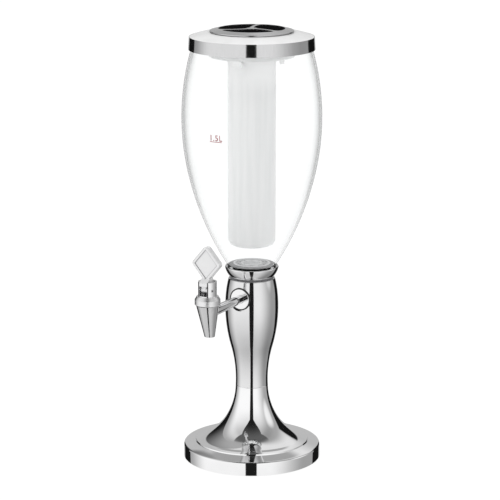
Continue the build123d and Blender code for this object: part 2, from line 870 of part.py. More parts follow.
# Soft ring round the disc
with BuildPart() as tap_grommet:
    with BuildSketch(Plane.XZ.offset(tap_seat_reach)):
        with Locations((0, shank_height)):
            Circle(grommet_radius)
            Circle(escutcheon_radius + running_gap, mode=Mode.SUBTRACT)
    extrude(amount=grommet_thickness)

with BuildPart() as shank_gasket:
    with BuildSketch(Plane.XZ.offset(gasket_face)):
        with Locations((0, shank_height)):
            Circle(gasket_radius)
            Circle(shank_radius + static_gap, mode=Mode.SUBTRACT)
    extrude(amount=gasket_thickness)

with BuildPart() as shank_nut:
    with BuildSketch(Plane.XZ.offset(gasket_face - shank_nut_height)):
        with Locations((0, shank_height)):
            RegularPolygon(shank_nut_flats / 2, 6, major_radius=False)
            Circle(shank_radius + running_gap, mode=Mode.SUBTRACT)
    extrude(amount=shank_nut_height)

with BuildPart() as bonnet_nut:
    nut_bore = tap_thread_radius + static_gap
    lip_bottom = nut_top - bonnet_nut_lip
    widest = nut_bottom + bonnet_nut_swell
    side_top = widest + bonnet_nut_side
    with BuildSketch(tap_side):
        with BuildLine():
            Polyline(
                (nut_bore, nut_bottom),
                (bonnet_nut_foot, nut_bottom),
                (bonnet_nut_radius, widest),
                (bonnet_nut_radius, side_top),
                (bonnet_nut_shoulder, nut_top),
                (bonnet_radius + static_gap, nut_top),
                (bonnet_radius + static_gap, lip_bottom),
                (nut_bore, lip_bottom),
                close=True,
            )
        make_face()
    revolve(axis=tap_axis)

# Bonnet: flange under the nut, spring chamber, partition and the slotted tower that holds the lever
with BuildPart() as bonnet:
    flange_top = bonnet_flange_bottom + bonnet_flange_height
    rod_hole = rod_radius + moving_gap
    with BuildSketch(tap_side):
        with BuildLine():
            Polyline(
                (chamber_radius, bonnet_flange_bottom),
                (tap_thread_radius, bonnet_flange_bottom),
                (tap_thread_radius, flange_top),
                (bonnet_radius, flange_top),
                (bonnet_radius, bonnet_top),
                (bonnet_bore, bonnet_top),
                (bonnet_bore, partition_top),
                (rod_hole, partition_top),
                (rod_hole, partition_bottom),
                (chamber_radius, partition_bottom),
                close=True,
            )
        make_face()
    revolve(axis=tap_axis)
    with BuildSketch(Plane((0, -tap_reach - bonnet_radius, partition_top))):
        Rectangle(bonnet_slot_width, 2 * bonnet_radius)
    extrude(amount=bonnet_top - partition_top, mode=Mode.SUBTRACT)
    with BuildSketch(Plane.YZ):
        with Locations((pivot_y, pivot_z)):
            Circle(pin_radius + running_gap)
    extrude(amount=bonnet_radius, both=True, mode=Mode.SUBTRACT)

with BuildPart() as bonnet_seal:
    with BuildSketch(Plane((0, -tap_reach, bonnet_flange_bottom - bonnet_seal_height))):
        Circle(chamber_radius - static_gap)
        Circle(rod_flange_radius + moving_gap, mode=Mode.SUBTRACT)
    extrude(amount=bonnet_seal_height)

with BuildPart() as lever_pin:
    pin_half = (bonnet_radius ** 2 - pivot_offset ** 2) ** 0.5 - moving_gap
    with BuildSketch(Plane.YZ):
        with Locations((pivot_y, pivot_z)):
            Circle(pin_radius)
    extrude(amount=pin_half, both=True)

# Lever: diamond handle, foot, hub on the pin, and a fork that lifts the rod's head
with BuildPart() as diamond_plate:
    with BuildSketch(Plane.XZ.offset(-plate_back)) as diamond:
        with Locations((0, diamond_middle)):
            add(diamond_shape())
        fillet(diamond.vertices(), diamond_corner)
    extrude(amount=diamond_thickness)
    chamfer(diamond_plate.faces().filter_by(Axis.Y).edges(), diamond_edge)
    for face_at in (-plate_front - diamond_recess, -plate_back):
        with BuildSketch(Plane.XZ.offset(face_at)):
            with Locations((0, diamond_middle)):
                add(diamond_shape())
            offset(amount=-diamond_border, kind=Kind.INTERSECTION)
        extrude(amount=diamond_recess, mode=Mode.SUBTRACT)

with BuildPart() as tap_lever:
    fork_gap = 2 * (rod_radius + moving_gap)
    with BuildSketch(Plane.YZ.offset(fork_gap / 2)):
        with Locations((pivot_y + fork_reach / 2, pivot_z)):
            Rectangle(fork_reach, fork_arm)
        with Locations((fork_y, pivot_z)):
            Circle(fork_nose)
    extrude(amount=(lever_width - fork_gap) / 2)
    mirror(about=Plane.YZ)
    with BuildSketch(Plane.YZ):
        with Locations((pivot_y, pivot_z)):
            Circle(lever_hub_radius)
    extrude(amount=lever_width / 2, both=True)
    neck_front = pivot_y - lever_hub_radius
    neck_back = pivot_y + moving_gap
    foot_face = -tap_reach - bonnet_radius + foot_inset
    foot_bottom = pivot_z + foot_rise
    foot_top = bonnet_top + diamond_corner
    with BuildSketch(Plane.YZ):
        with BuildLine():
            Polyline(
                (neck_front, pivot_z),
                (neck_front, foot_bottom),
                (neck_back, foot_bottom),
                (neck_back, pivot_z),
                close=True,
            )
        make_face()
    extrude(amount=neck_width / 2, both=True)
    with BuildSketch(Plane.YZ):
        with BuildLine():
            Polyline(
                (foot_face, pivot_z + foot_low),
                (foot_face, pivot_z + foot_front),
                (plate_front, foot_top),
                (plate_back, foot_top),
                (plate_back, foot_bottom),
                (neck_back, foot_bottom),
                (neck_back, pivot_z + foot_low),
                close=True,
            )
        make_face()
    extrude(amount=bonnet_slot_width / 2 - moving_gap, both=True)
    add(diamond_plate.part)
    with BuildSketch(Plane.YZ):
        with Locations((pivot_y, pivot_z)):
            Circle(pin_radius + running_gap)
    extrude(amount=lever_width, both=True, mode=Mode.SUBTRACT)

# Plunger: rod with a head for the fork and a flange for the spring
with BuildPart() as tap_plunger:
    with BuildSketch(tap_side):
        with BuildLine():
            Polyline(
                (0, cup_bottom + cup_floor),
                (rod_radius, cup_bottom + cup_floor),
                (rod_radius, rod_flange_bottom),
                (rod_flange_radius, rod_flange_bottom),
                (rod_flange_radius, rod_flange_top),
                (rod_radius, rod_flange_top),
                (rod_radius, head_bottom),
                (rod_head_radius, head_bottom),
                (rod_head_radius, head_bottom + rod_head_height),
                (0, head_bottom + rod_head_height),
                close=True,
            )
        make_face()
    revolve(axis=tap_axis)

with BuildPart() as seat_cup:
    with BuildSketch(Plane((0, -tap_reach, cup_bottom))):
        Circle(cup_radius)
    extrude(amount=cup_height)
    with BuildSketch(Plane((0, -tap_reach, cup_bottom + cup_floor))):
        Circle(rod_radius + running_gap)
    extrude(amount=cup_height - cup_floor, mode=Mode.SUBTRACT)

with BuildPart() as tap_spring:
    coil_bottom = rod_flange_top + spring_wire / 2 + seat_gap
    coil_height = partition_bottom - rod_flange_top - spring_wire - 2 * seat_gap
    with BuildLine():
        coil_pitch = coil_height / spring_turns
        coil = Helix(coil_pitch, coil_height, spring_radius, center=(0, -tap_reach, coil_bottom))
    with BuildSketch(Plane(coil @ 0, z_dir=coil % 0)):
        RegularPolygon(spring_wire / 2, 6)
    sweep(path=coil, is_frenet=True)

pieces = {
    "base_shell": base_shell,
    "foot_pad": foot_pad,
    "base_plate": base_plate,
    "base_plate_screws": base_plate_screws,
    "ballast_weight": ballast_weight,
    "tie_bolt": tie_bolt,
    "tie_washer": tie_washer,
    "tie_nut": tie_nut,
    "stem_shell": stem_shell,
    "sump_cup": sump_cup,
    "collar": collar,
    "neck_seal": neck_seal,
    "vessel": vessel,
    "strainer_disc": strainer_disc,
    "lid_shell": lid_shell,
    "lid_band": lid_band,
    "lid_seal": lid_seal,
    "ice_tube": ice_tube,
    "tube_seal": tube_seal,
    "grip_cap": grip_cap,
    "grip_trim": grip_trim,
    "cap_seal": cap_seal,
    "tap_body": tap_body,
    "tap_escutcheon": tap_escutcheon,
    "tap_grommet": tap_grommet,
    "shank_gasket": shank_gasket,
    "shank_nut": shank_nut,
    "bonnet_nut": bonnet_nut,
    "bonnet": bonnet,
    "bonnet_seal": bonnet_seal,
    "lever_pin": lever_pin,
    "tap_lever": tap_lever,
    "tap_plunger": tap_plunger,
    "seat_cup": seat_cup,
    "tap_spring": tap_spring,
}
os.makedirs("parts", exist_ok=True)
for name, piece in pieces.items():
    piece.part.label = name
    export_step(piece.part, f"parts/{name}.step")
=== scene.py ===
import json
import math

import bpy
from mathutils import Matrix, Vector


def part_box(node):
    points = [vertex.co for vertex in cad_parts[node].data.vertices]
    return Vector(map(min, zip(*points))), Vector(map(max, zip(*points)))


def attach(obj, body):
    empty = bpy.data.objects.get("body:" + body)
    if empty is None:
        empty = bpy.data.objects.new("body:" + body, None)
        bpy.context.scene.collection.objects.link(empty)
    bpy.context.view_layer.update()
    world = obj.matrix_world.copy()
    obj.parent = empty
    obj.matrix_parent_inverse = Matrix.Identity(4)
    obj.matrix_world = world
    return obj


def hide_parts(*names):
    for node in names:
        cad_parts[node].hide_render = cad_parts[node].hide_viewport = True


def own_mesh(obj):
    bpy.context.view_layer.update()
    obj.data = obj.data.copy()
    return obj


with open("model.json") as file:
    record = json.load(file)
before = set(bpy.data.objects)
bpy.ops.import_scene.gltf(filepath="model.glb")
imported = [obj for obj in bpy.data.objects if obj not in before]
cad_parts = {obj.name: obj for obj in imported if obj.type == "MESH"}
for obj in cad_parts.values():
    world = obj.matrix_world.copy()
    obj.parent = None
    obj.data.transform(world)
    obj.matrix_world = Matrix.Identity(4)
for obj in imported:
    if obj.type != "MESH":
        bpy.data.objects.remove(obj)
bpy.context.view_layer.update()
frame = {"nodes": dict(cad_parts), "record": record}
nodes = frame["nodes"]
scene = bpy.context.scene
scene.view_settings.view_transform = "Standard"
print("frame loaded:", len(nodes), "pieces")


class Wire:
    # a socket that takes part in sums, products and masks
    def __init__(self, graph, socket):
        self.graph = graph
        self.socket = socket

    def math(self, operation, *values):
        return self.graph.node("Math", {"operation": operation}, dict(enumerate(values)))

    def __add__(self, other):
        return self.math("ADD", self, other)

    def __radd__(self, other):
        return self.math("ADD", other, self)

    def __sub__(self, other):
        return self.math("SUBTRACT", self, other)

    def __rsub__(self, other):
        return self.math("SUBTRACT", other, self)

    def __mul__(self, other):
        return self.math("MULTIPLY", self, other)

    def __rmul__(self, other):
        return self.math("MULTIPLY", other, self)

    def __abs__(self):
        return self.math("ABSOLUTE", self)

    def smooth(self, low, high):
        # 0 below low, 1 above high, soft between
        ends = {"Value": self, "From Min": low, "From Max": high}
        return self.graph.node("MapRange", {"interpolation_type": "SMOOTHSTEP"}, ends)

    def past(self, edge, soft):
        return self.smooth(edge - soft, edge + soft)

    def inside(self, low, high, soft):
        return self.past(low, soft) * (1 - self.past(high, soft))


# first where the mask is 0, second where it is 1
def between(mask, first, second):
    return first * (1 - mask) + second * mask


class Graph:
    def __init__(self, tree):
        self.tree = tree

    def node(self, kind, settings={}, inputs={}, output=0):
        made = self.tree.nodes.new("ShaderNode" + kind)
        for key, value in settings.items():
            setattr(made, key, value)
        for key, value in inputs.items():
            if isinstance(value, Wire):
                self.tree.links.new(value.socket, made.inputs[key])
            else:
                made.inputs[key].default_value = value
        return Wire(self, made.outputs[output])

    def place(self):
        return self.node("TexCoord", output="Object")

    def axes(self, vector):
        apart = self.node("SeparateXYZ", {}, {0: vector}).socket.node
        return [Wire(self, socket) for socket in apart.outputs]

    def rays(self, *kinds):
        path = self.node("LightPath").socket.node
        return [Wire(self, path.outputs["Is " + kind + " Ray"]) for kind in kinds]

    def noise(self, size, detail=3.0, stretch=(1, 1, 1)):
        # size is the width of one blotch in millimetres
        spread = self.node("Mapping", {}, {"Vector": self.place(), "Scale": stretch})
        return self.node("TexNoise", {}, {"Vector": spread, "Scale": 1000 / size, "Detail": detail})

    def blend(self, mask, first, second):
        # first and second are colours, or wires that carry one
        ends = [colour if isinstance(colour, Wire) else (*colour, 1) for colour in (first, second)]
        inputs = {"Factor": mask, 6: ends[0], 7: ends[1]}
        return self.node("Mix", {"data_type": "RGBA"}, inputs, output=2)


class Finish(Graph):
    def __init__(self, name):
        self.material = bpy.data.materials.new(name)
        self.material.use_nodes = True
        super().__init__(self.material.node_tree)
        self.shader = self.tree.nodes["Principled BSDF"]

    def set(self, **values):
        for key, value in values.items():
            socket = self.shader.inputs[key.replace("_", " ")]
            if isinstance(value, Wire):
                self.tree.links.new(value.socket, socket)
            else:
                socket.default_value = value

    def bump(self, height, strength, depth):
        inputs = {"Height": height, "Strength": strength, "Distance": depth}
        self.set(Normal=self.node("Bump", {}, inputs))

    def on(self, *names):
        for name in names:
            nodes[name].material_slots[0].material = self.material


# plated pieces: a mirror with faint cloudiness from wiping
plating = {"smear": 26.0, "haze": 1.6, "patches": (0.35, 0.7), "dull": 0.96, "hazeShare": 0.4}


def plated(name, tint, roughness, cloud=0.02):
    finish = Finish(name)
    smear = finish.noise(plating["smear"], 4.0)
    haze = finish.noise(plating["haze"], 2.0)
    dull = tuple(plating["dull"] * part for part in tint)
    finish.set(
        Base_Color=finish.blend(smear.smooth(*plating["patches"]), tint, dull),
        Metallic=1.0,
        Roughness=roughness + cloud * smear + plating["hazeShare"] * cloud * haze,
    )
    return finish


platedLooks = {
    "stemChrome": {"tint": (0.82, 0.82, 0.825), "roughness": 0.05},
    "collarChrome": {"tint": (0.93, 0.93, 0.935), "roughness": 0.03},
    "tapChrome": {"tint": (0.9, 0.9, 0.905), "roughness": 0.1},
    "discChrome": {"tint": (0.96, 0.96, 0.965), "roughness": 0.04},
    "nutSatin": {"tint": (0.92, 0.92, 0.925), "roughness": 0.3, "cloud": 0.06},
    "trimChrome": {"tint": (0.66, 0.66, 0.665), "roughness": 0.2},
    "fastenerSteel": {"tint": (0.6, 0.6, 0.61), "roughness": 0.25},
}
platedPieces = {
    "stemChrome": ["stem_shell"],
    "collarChrome": ["collar"],
    "tapChrome": ["tap_body", "bonnet", "lever_pin"],
    "discChrome": ["tap_escutcheon"],
    "nutSatin": ["bonnet_nut"],
    "trimChrome": ["grip_trim"],
    "fastenerSteel": ["base_plate_screws", "tie_bolt", "tie_washer", "tie_nut", "tap_spring"],
}
for name, look in platedLooks.items():
    plated(name, **look).on(*platedPieces[name])
print("plated finishes ready")

# lid band: rolled strip with fine upright drawing lines
band = {
    "tint": (0.70, 0.70, 0.705),
    "line": (0.67, 0.67, 0.675),
    "lineWidth": 0.7,
    "lineStretch": (1, 1, 0.02),
    "lineMask": (0.3, 0.75),
    "lineRough": 0.03,
    "roughness": 0.07,
}
bandFinish = Finish("bandSteel")
bandLines = bandFinish.noise(band["lineWidth"], 3.0, band["lineStretch"])
bandFinish.set(
    Base_Color=bandFinish.blend(bandLines.smooth(*band["lineMask"]), band["tint"], band["line"]),
    Metallic=1.0,
    Roughness=band["roughness"] + band["lineRough"] * bandLines,
)
bandFinish.on("lid_band")


# clear and frosted plastic: the lamps shine straight through, so neither casts a dark shadow
def seeThrough(finish):
    (lampRay,) = finish.rays("Shadow")
    clear = finish.node("BsdfTransparent")
    shell = Wire(finish, finish.shader.outputs[0])
    both = finish.node("MixShader", {}, {0: lampRay, 1: shell, 2: clear})
    finish.tree.links.new(both.socket, finish.tree.nodes["Material Output"].inputs["Surface"])


# vessel wall: painted reflection, its colour greys towards its edges, where the eye looks along it, and less so
# low down
vesselLook = {
    "clear": (0.985, 0.99, 0.99),
    "edge": (0.3, 0.305, 0.305),
    "edgeFrom": 0.5,
    "thinBelow": (0.25, 0.35),
    "thinner": 0.2,
    "smudge": 30.0,
    "smudgeRough": 0.01,
    "bending": 1.08,
}
vesselFinish = Finish("clearPlastic")
wallHigh = vesselFinish.axes(vesselFinish.place())[2]
wallThin = 1 - wallHigh.smooth(*vesselLook["thinBelow"])
edgeFrom = vesselLook["edgeFrom"] + vesselLook["thinner"] * wallThin
# painted reflection: a grey band in the colour where the wall is seen edge-on
paintedEdgeMask = vesselFinish.node("LayerWeight", {}, {"Blend": 0.5}, output="Facing").smooth(edgeFrom, 1.0)
vesselFinish.set(
    Base_Color=vesselFinish.blend(paintedEdgeMask, vesselLook["clear"], vesselLook["edge"]),
    Roughness=vesselLook["smudgeRough"] * vesselFinish.noise(vesselLook["smudge"], 3.0),
    IOR=vesselLook["bending"],
    Transmission_Weight=1.0,
)
seeThrough(vesselFinish)

# ice tube: upright streaks, and painted light that makes it whiter just under the lid, where the lid shades it
tube = {
    "pale": (0.85, 0.85, 0.85),
    "streak": (0.8, 0.805, 0.805),
    "streakWidth": 5.0,
    "streakStretch": (1, 1, 0.05),
    "streakMask": (0.3, 0.7),
    # painted light: a whiter colour near the top, in place of the lid's shade there
    "top": (0.99, 0.99, 0.99),
    "paintedLightFrom": (0.42, 0.455),
    "grainSize": 9.0,
    "grain": 0.12,
    "roughness": 0.38,
    "bending": 1.45,
    "letsThrough": 0.2,
}
tubeFinish = Finish("frostedPlastic")
tubeStreaks = tubeFinish.noise(tube["streakWidth"], 3.0, tube["streakStretch"])
tubeBody = tubeFinish.blend(tubeStreaks.smooth(*tube["streakMask"]), tube["pale"], tube["streak"])
tubeHigh = tubeFinish.axes(tubeFinish.place())[2]
# the colour turns to the painted light towards the top
tubeFinish.set(
    Base_Color=tubeFinish.blend(tubeHigh.smooth(*tube["paintedLightFrom"]), tubeBody, tube["top"]),
    Roughness=tube["roughness"] + tube["grain"] * tubeFinish.noise(tube["grainSize"], 4.0),
    IOR=tube["bending"],
    Transmission_Weight=tube["letsThrough"],
)
seeThrough(tubeFinish)
tubeFinish.on("ice_tube")
print("see-through finishes ready")


# points of a chain of arcs, each of which leaves the last one smoothly
def arcChain(stops, lean, steps):
    points = [stops[0]]
    for (r0, z0), (r1, z1) in zip(stops, stops[1:]):
        size = math.hypot(*lean)
        side = (-lean[1] / size, lean[0] / size)
        across = r1 - r0
        upward = z1 - z0
        reach = (across**2 + upward**2) / (2 * (across * side[0] + upward * side[1]))
        middle = (r0 + side[0] * reach, z0 + side[1] * reach)
        first = math.atan2(z0 - middle[1], r0 - middle[0])
        sweep = math.atan2(z1 - middle[1], r1 - middle[0]) - first
        sweep = (sweep + math.pi) % (2 * math.pi) - math.pi
        for step in range(1, steps + 1):
            angle = first + sweep * step / steps
            points.append((middle[0] + abs(reach) * math.cos(angle), middle[1] + abs(reach) * math.sin(angle)))
        lean = (-(z1 - middle[1]) / reach, (r1 - middle[0]) / reach)
    return points


meshing = {"seed": 0.001, "weld": 0.000001, "smoothAngle": 30}


# everything selected, and points that coincide made one
def weldAll():
    bpy.ops.mesh.select_all(action="SELECT")
    bpy.ops.mesh.remove_doubles(threshold=meshing["weld"])


# a closed outline of radius and height, drawn point by point and spun round the tower's axis
def spun(name, outline, turns):
    bpy.ops.object.select_all(action="DESELECT")
    bpy.ops.mesh.primitive_plane_add(size=meshing["seed"])
    piece = bpy.context.object
    piece.name = name
    bpy.ops.object.mode_set(mode="EDIT")
    bpy.ops.mesh.merge(type="CENTER")
    bpy.ops.transform.translate(value=(outline[0][0], 0, outline[0][1]))
    for (r0, z0), (r1, z1) in zip(outline, outline[1:] + outline[:1]):
        bpy.ops.mesh.extrude_vertices_move(TRANSFORM_OT_translate={"value": (r1 - r0, 0, z1 - z0)})
    weldAll()
    bpy.ops.mesh.spin(steps=turns, angle=2 * math.pi, center=(0, 0, 0), axis=(0, 0, 1))
    weldAll()
    bpy.ops.mesh.normals_make_consistent(inside=False)
    bpy.ops.object.mode_set(mode="OBJECT")
    bpy.ops.object.shade_smooth_by_angle(angle=math.radians(meshing["smoothAngle"]))
    return piece


# vessel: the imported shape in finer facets, so that its clear edges are clean lines
vessel = {
    "outside": ((0.0274, 0.226), (0.0711, 0.33), (0.0641, 0.483)),
    "lean": (0.553, 0.87),
    "wall": 0.002,
    "floor": 0.2261,
    "base": 0.2225,
    "corner": 0.0035,
    "neck": {"outer": 0.02, "inner": 0.0175, "bottom": 0.203},
    "arcSteps": 44,
    "cornerSteps": 8,
    "turns": 288,
}
wallInside = [(radius - vessel["wall"], height) for radius, height in vessel["outside"]]
wallInside[0] = (wallInside[0][0], vessel["floor"])
footEdge = (vessel["outside"][0][0] - vessel["corner"], vessel["base"])
neck = vessel["neck"]
vesselOutline = arcChain((footEdge, vessel["outside"][0]), (1, 0), vessel["cornerSteps"])
vesselOutline += arcChain(vessel["outside"], vessel["lean"], vessel["arcSteps"])[1:]
vesselOutline += arcChain(wallInside, vessel["lean"], vessel["arcSteps"])[::-1]
vesselOutline += [
    (neck["inner"], vessel["floor"]),
    (neck["inner"], neck["bottom"]),
    (neck["outer"], neck["bottom"]),
    (neck["outer"], vessel["base"]),
]
vesselPiece = spun("clearVessel", vesselOutline, vessel["turns"])
vesselPiece.data.materials.append(vesselFinish.material)
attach(vesselPiece, "stand")
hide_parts("vessel")
print("vessel spun:", len(vesselPiece.data.polygons), "faces")

# base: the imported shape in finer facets, with its rounded edge at the top of the wall
base = {
    "tint": (0.97, 0.97, 0.975),
    "roughness": 0.02,
    "trumpet": ((0.0185, 0.0849), (0.0298, 0.046), (0.0642, 0.0213)),
    "lean": (0.016, -1),
    "inside": ((0.01305, 0.0853), (0.02798, 0.04418), (0.0616, 0.0187)),
    "seam": (0.0181, 0.0853),
    "spigot": ((0.01565, 0.0853), (0.01565, 0.0973), (0.01305, 0.0973)),
    "groove": (0.0647, 0.0192),
    "rimTop": (0.0652, 0.02),
    "rimEdge": (0.078, 0.0158),
    "edgeRound": 0.0024,
    "edgeSteps": 10,
    "bottom": 0.0008,
    "wall": 0.0026,
    "arcSteps": 40,
    "turns": 288,
}
rimTop, rimEdge = base["rimTop"], base["rimEdge"]
rimLean = (rimEdge[0] - rimTop[0], rimEdge[1] - rimTop[1])
rimLength = math.hypot(*rimLean)
turned = math.pi / 2 - math.atan2(-rimLean[1], rimLean[0])
cut = base["edgeRound"] * math.tan(turned / 2)
edgeStart = (rimEdge[0] - cut * rimLean[0] / rimLength, rimEdge[1] - cut * rimLean[1] / rimLength)
edgeEnd = (rimEdge[0], rimEdge[1] - cut)
innerWall = rimEdge[0] - base["wall"]
baseOutline = [base["seam"]]
baseOutline += arcChain(base["trumpet"], base["lean"], base["arcSteps"])
baseOutline += [base["groove"], rimTop]
baseOutline += arcChain((edgeStart, edgeEnd), rimLean, base["edgeSteps"])
baseOutline += [
    (rimEdge[0], base["bottom"]),
    (innerWall, base["bottom"]),
    (innerWall, rimEdge[1] - base["wall"]),
    (rimTop[0], rimTop[1] - base["wall"]),
]
baseOutline += arcChain(base["inside"], base["lean"], base["arcSteps"])[::-1]
baseOutline += base["spigot"][::-1]
basePiece = spun("trumpetBase", baseOutline, base["turns"])
footFinish = plated("footChrome", base["tint"], base["roughness"])
basePiece.data.materials.append(footFinish.material)
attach(basePiece, "stand")
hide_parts("base_shell")
print("base spun:", len(basePiece.data.polygons), "faces")

# moulded pieces: plastic, rubber and cast metal with a fine grain
moulding = {"speckle": 0.8, "cloud": 22.0, "patches": (0.35, 0.7), "darker": 0.94, "bump": 0.25}


def moulded(name, colour, roughness, grain=0.03, depth=0.00002):
    finish = Finish(name)
    speckle = finish.noise(moulding["speckle"], 2.0)
    cloud = finish.noise(moulding["cloud"], 3.0)
    darker = tuple(moulding["darker"] * part for part in colour)
    finish.set(
        Base_Color=finish.blend(cloud.smooth(*moulding["patches"]), colour, darker),
        Roughness=roughness + grain * speckle,
    )
    finish.bump(speckle, moulding["bump"], depth)
    return finish


mouldedLooks = {
    "lidWhite": {"colour": (0.92, 0.92, 0.92), "roughness": 0.22},
    "capBlack": {"colour": (0.012, 0.012, 0.013), "roughness": 0.1, "grain": 0.02},
    "innerGrey": {"colour": (0.3, 0.3, 0.31), "roughness": 0.5},
    "sealRubber": {"colour": (0.03, 0.03, 0.03), "roughness": 0.7, "grain": 0.1},
    "sealWhite": {"colour": (0.75, 0.75, 0.74), "roughness": 0.5, "grain": 0.1},
    "padRubber": {"colour": (0.04, 0.04, 0.04), "roughness": 0.8, "grain": 0.15, "depth": 0.0001},
}
mouldedPieces = {
    "lidWhite": ["lid_shell"],
    "capBlack": ["grip_cap"],
    "innerGrey": ["base_plate", "sump_cup", "tap_plunger", "shank_nut"],
    "sealRubber": ["tap_grommet", "shank_gasket", "bonnet_seal", "seat_cup", "cap_seal"],
    "sealWhite": ["lid_seal", "tube_seal", "neck_seal"],
    "padRubber": ["foot_pad"],
}
for name, look in mouldedLooks.items():
    moulded(name, **look).on(*mouldedPieces[name])

# ballast: rough cast iron
ballast = {"colour": (0.1, 0.1, 0.105), "roughness": 0.6, "grain": 0.2, "depth": 0.0002, "metallic": 0.6}
ironFinish = moulded("ballastIron", ballast["colour"], ballast["roughness"], ballast["grain"], ballast["depth"])
ironFinish.set(Metallic=ballast["metallic"])
ironFinish.on("ballast_weight")

# lever: silver lacquer, with a thin painted shade line along the step of the diamond's border
lever = {
    "silver": (0.9, 0.9, 0.905),
    # colour of the painted shade line
    "corner": (0.42, 0.42, 0.43),
    "roughness": 0.24,
    "metallic": 0.35,
    "halfWide": 0.018,
    "halfTall": 0.02125,
    "tipRound": 0.00218,
    "border": 0.0032,
    "lineHalf": 0.0003,
}
leverFinish = moulded("leverSilver", lever["silver"], lever["roughness"])
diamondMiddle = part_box("tap_lever")[1][2] - lever["halfTall"] + lever["tipRound"]
leverPlace = leverFinish.axes(leverFinish.place())
leverAside = abs(leverPlace[0])
leverAbove = abs(leverPlace[2] - diamondMiddle)
diamondReach = leverAside * (1 / lever["halfWide"]) + leverAbove * (1 / lever["halfTall"])
flatReach = lever["halfWide"] * lever["halfTall"] / math.hypot(lever["halfWide"], lever["halfTall"])
borderAt = 1 - lever["border"] / flatReach
lineHalf = lever["lineHalf"] / flatReach
# painted shade: a thin dark line where the diamond's border steps
paintedShadeLine = diamondReach.inside(borderAt - lineHalf, borderAt + lineHalf, lineHalf)
leverFinish.set(
    Base_Color=leverFinish.blend(paintedShadeLine, lever["silver"], lever["corner"]),
    Metallic=lever["metallic"],
)
leverFinish.on("tap_lever")

# strainer: plated, with paler rings, a duller centre and groove, and painted shade on the bevel
strainer = {
    "pale": (0.88, 0.88, 0.885),
    "dull": (0.7, 0.7, 0.705),
    "paintedShadeBevel": (0.42, 0.42, 0.425),
    "roughness": 0.32,
    "metallic": 0.45,
    "innerRing": (0.0096, 0.012),
    "outerRing": (0.0186, 0.021),
    "soft": 0.0003,
}
strainerFinish = moulded("strainerSilver", strainer["pale"], strainer["roughness"])
strainerX, strainerY = strainerFinish.axes(strainerFinish.place())[:2]
strainerSquare = strainerX * strainerX + strainerY * strainerY
strainerReach = strainerSquare.math("SQRT", strainerSquare)
paleRings = strainerReach.inside(*strainer["innerRing"], strainer["soft"])
paleRings = paleRings + strainerReach.inside(*strainer["outerRing"], strainer["soft"])
bevelFrom = strainer["outerRing"][1]
# painted shade: the bevel, which faces outward and down, is darkened in colour
bevelShadeMask = strainerReach.smooth(bevelFrom, bevelFrom + strainer["soft"])
ringColour = strainerFinish.blend(paleRings, strainer["dull"], strainer["pale"])
strainerFinish.set(
    Base_Color=strainerFinish.blend(bevelShadeMask, ringColour, strainer["paintedShadeBevel"]),
    Metallic=strainer["metallic"],
)
strainerFinish.on("strainer_disc")
print("moulded finishes ready")

# tap spring: the share of its length it would keep with the plunger fully up, and a mesh of its own
springLow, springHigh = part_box("tap_spring")
jointsByName = {joint["name"]: joint for joint in frame["record"]["behaviour"]["joints"]}
plungerRise = jointsByName["plunger_lift"]["range_m"][1]
springKeep = 1 - plungerRise / (springHigh[2] - springLow[2])
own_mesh(nodes["tap_spring"])
print("spring keeps", round(springKeep, 3), "of its length")

# litre mark: screen print that follows the vessel's curve
mark = {
    "says": "1.5L",
    "ink": (0.42, 0.075, 0.09),
    "worn": (0.54, 0.2, 0.22),
    "wornSize": 1.2,
    "wornMask": (0.5, 0.75),
    "roughness": 0.45,
    "letterSize": 0.0096,
    "letterGap": 1.16,
    "bolder": 0.00009,
    "height": 0.3795,
    "turn": -1.2,
    "lineDrop": 0.0013,
    "lineWidth": 0.0176,
    "lineThick": 0.0009,
    "lineParts": 24,
    "startsOff": 0.02,
    "proud": 0.00004,
    "film": 0.00005,
}
markFinish = moulded("markInk", mark["ink"], mark["roughness"])
markWorn = markFinish.noise(mark["wornSize"], 3.0).smooth(*mark["wornMask"])
markFinish.set(Base_Color=markFinish.blend(markWorn, mark["ink"], mark["worn"]))
bpy.ops.object.select_all(action="DESELECT")
bpy.ops.object.text_add()
letters = bpy.context.object
letters.data.body = mark["says"]
letters.data.size = mark["letterSize"]
letters.data.space_character = mark["letterGap"]
letters.data.offset = mark["bolder"]
letters.data.align_x = "CENTER"
bpy.ops.object.convert(target="MESH")
bpy.ops.object.mode_set(mode="EDIT")
weldAll()
bpy.ops.object.mode_set(mode="OBJECT")
bpy.ops.object.select_all(action="DESELECT")
bpy.ops.mesh.primitive_grid_add(x_subdivisions=mark["lineParts"], y_subdivisions=1, size=1)
underline = bpy.context.object
underline.scale = (mark["lineWidth"], mark["lineThick"], 1)
underline.location = (0, -mark["lineDrop"], 0)
bpy.ops.object.transform_apply(location=True, rotation=True, scale=True)
letters.select_set(True)
bpy.context.view_layer.objects.active = letters
bpy.ops.object.join()
markPiece = bpy.context.object
markPiece.name = "litreMark"
# it stands upright in front of the vessel and is then drawn onto the wall
markTurn = math.radians(mark["turn"])
markReach = vessel["outside"][1][0] + mark["startsOff"]
markPiece.rotation_euler = (math.pi / 2, 0, markTurn)
markPiece.location = (markReach * math.sin(markTurn), -markReach * math.cos(markTurn), mark["height"])
bpy.ops.object.transform_apply(location=True, rotation=True, scale=True)
wrap = markPiece.modifiers.new("wrap", "SHRINKWRAP")
wrap.target = vesselPiece
wrap.wrap_method = "NEAREST_SURFACEPOINT"
wrap.offset = mark["proud"]
film = markPiece.modifiers.new("film", "SOLIDIFY")
film.thickness = mark["film"]
film.offset = 1.0
for stage in ("wrap", "film"):
    bpy.ops.object.modifier_apply(modifier=stage)
markPiece.data.materials.clear()
markPiece.data.materials.append(markFinish.material)
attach(markPiece, "stand")
print("litre mark printed:", len(markPiece.data.polygons), "faces")

